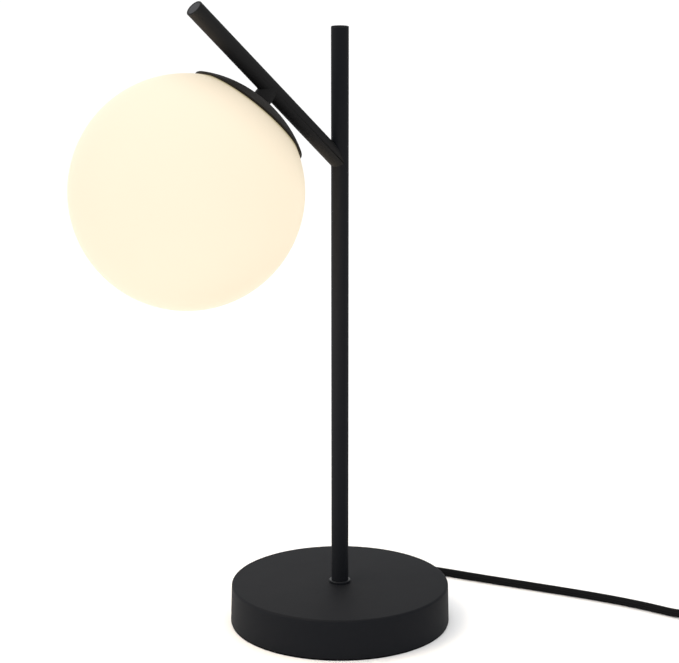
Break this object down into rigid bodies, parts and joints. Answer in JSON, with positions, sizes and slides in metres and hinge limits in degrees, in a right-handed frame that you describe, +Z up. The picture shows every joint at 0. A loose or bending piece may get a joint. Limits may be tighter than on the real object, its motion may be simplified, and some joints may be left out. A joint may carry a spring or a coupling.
{
  "type": "glass globe table lamp",
  "caption": "Table lamp with a round weighted base, a slim pole, a slanted arm and an opal glass globe hung under it, on a corded switch and plug.",
  "frame": {"origin": "centre of the base's underside, on the table", "axes": "+Z up along the pole; the arm and the globe's slanted axis lie in the XZ plane, the arm rising towards -X"},
  "size_m": [0.5808, 0.3492, 0.4617],
  "materials": {
    "black_powder_coat": "fine matt powder coat",
    "end_plug_grey": "satin moulded plug",
    "opal_glass": "satin opal, lit from inside",
    "grey_iron": "as cast, faced top and bottom",
    "zinc_steel": "bright zinc plate",
    "sprung_steel": "plain spring steel",
    "contact_brass": "drawn brass",
    "plug_nickel": "dull nickel plate",
    "foot_rubber": "closed-cell foam rubber",
    "relief_rubber": "soft moulded rubber",
    "clear_silicone": "milky silicone",
    "black_braid": "tight textile braid over the cable",
    "tie_band": "hook-and-loop band",
    "black_case_plastic": "fine spark-eroded grain",
    "rocker_plastic": "polished",
    "clamp_nylon": "natural nylon",
    "holder_thermoset": "black heat-proof moulding",
    "bulb_housing": "white moulded housing",
    "bulb_opal": "frosted opal",
    "lead_brown": "insulated lead",
    "lead_blue": "insulated lead"
  },
  "bodies": {
    "lamp": {"base_cover": "black_powder_coat", "pole_collar": "black_powder_coat", "pole_tube": "black_powder_coat", "arm_tube": "black_powder_coat", "arm_knuckle": "black_powder_coat", "shade_cap": "black_powder_coat", "pole_top_plug": "end_plug_grey", "arm_end_plug": "end_plug_grey", "base_weight": "grey_iron", "base_plate": "zinc_steel", "plate_screws": "zinc_steel", "clamp_screws": "zinc_steel", "terminal_screws": "zinc_steel", "pole_bush": "zinc_steel", "pole_stud": "zinc_steel", "pole_washer": "zinc_steel", "pole_nut": "zinc_steel", "knuckle_nipple": "zinc_steel", "gallery_nut": "zinc_steel", "switch_screws": "zinc_steel", "rocker_pin": "zinc_steel", "globe_gallery": "sprung_steel", "gallery_clips": "sprung_steel", "holder_shell": "contact_brass", "holder_contact": "contact_brass", "switch_contacts": "contact_brass", "plug_pins": "plug_nickel", "foot_pad": "foot_rubber", "cord_grommet": "relief_rubber", "switch_glands": "relief_rubber", "plug_relief": "relief_rubber", "mains_cord": "black_braid", "cord_link": "black_braid", "cord_tail": "black_braid", "mains_cord_coil": "black_braid", "inner_cord": "black_braid", "coil_tie": "tie_band", "switch_base": "black_case_plastic", "switch_top": "black_case_plastic", "plug_body": "black_case_plastic", "cord_clamp": "clamp_nylon", "terminal_block": "clamp_nylon", "holder_cup": "holder_thermoset", "holder_sleeve": "holder_thermoset", "live_lead": "lead_brown", "neutral_lead": "lead_blue"},
    "globe_seat": {"neck_gasket": "clear_silicone"},
    "globe": {"glass_globe": "opal_glass"},
    "bulb_foot": {"bulb_tip": "plug_nickel"},
    "bulb": {"bulb_cap": "plug_nickel", "bulb_body": "bulb_housing", "bulb_globe": "bulb_opal"},
    "rocker": {"switch_rocker": "rocker_plastic"}
  },
  "joints": [
    {"name": "globe_twist", "type": "hinge", "parent": "lamp", "child": "globe_seat", "pos_m": [-0.05622, 0, 0.39921], "axis": [-0.7071, 0, -0.7071], "continuous": true},
    {"name": "globe_pull", "type": "slide", "parent": "globe_seat", "child": "globe", "axis": [-0.7071, 0, -0.7071], "range_m": [0, 0.11]},
    {"name": "bulb_travel", "type": "slide", "parent": "lamp", "child": "bulb_foot", "axis": [-0.7071, 0, -0.7071], "range_m": [0, 0.0142]},
    {"name": "bulb_turn", "type": "hinge", "parent": "bulb_foot", "child": "bulb", "pos_m": [-0.05622, 0, 0.39921], "axis": [-0.7071, 0, -0.7071], "range_deg": [0, 1800]},
    {"name": "switch_rock", "type": "hinge", "parent": "lamp", "child": "rocker", "pos_m": [0.2736, -0.1763, 0.0095], "axis": [-0.5736, -0.8192, 0], "range_deg": [0, 18]}
  ],
  "couplings": [
    {"joint": "bulb_travel", "follows": "bulb_turn", "m_per_rad": 0.000449}
  ]
}
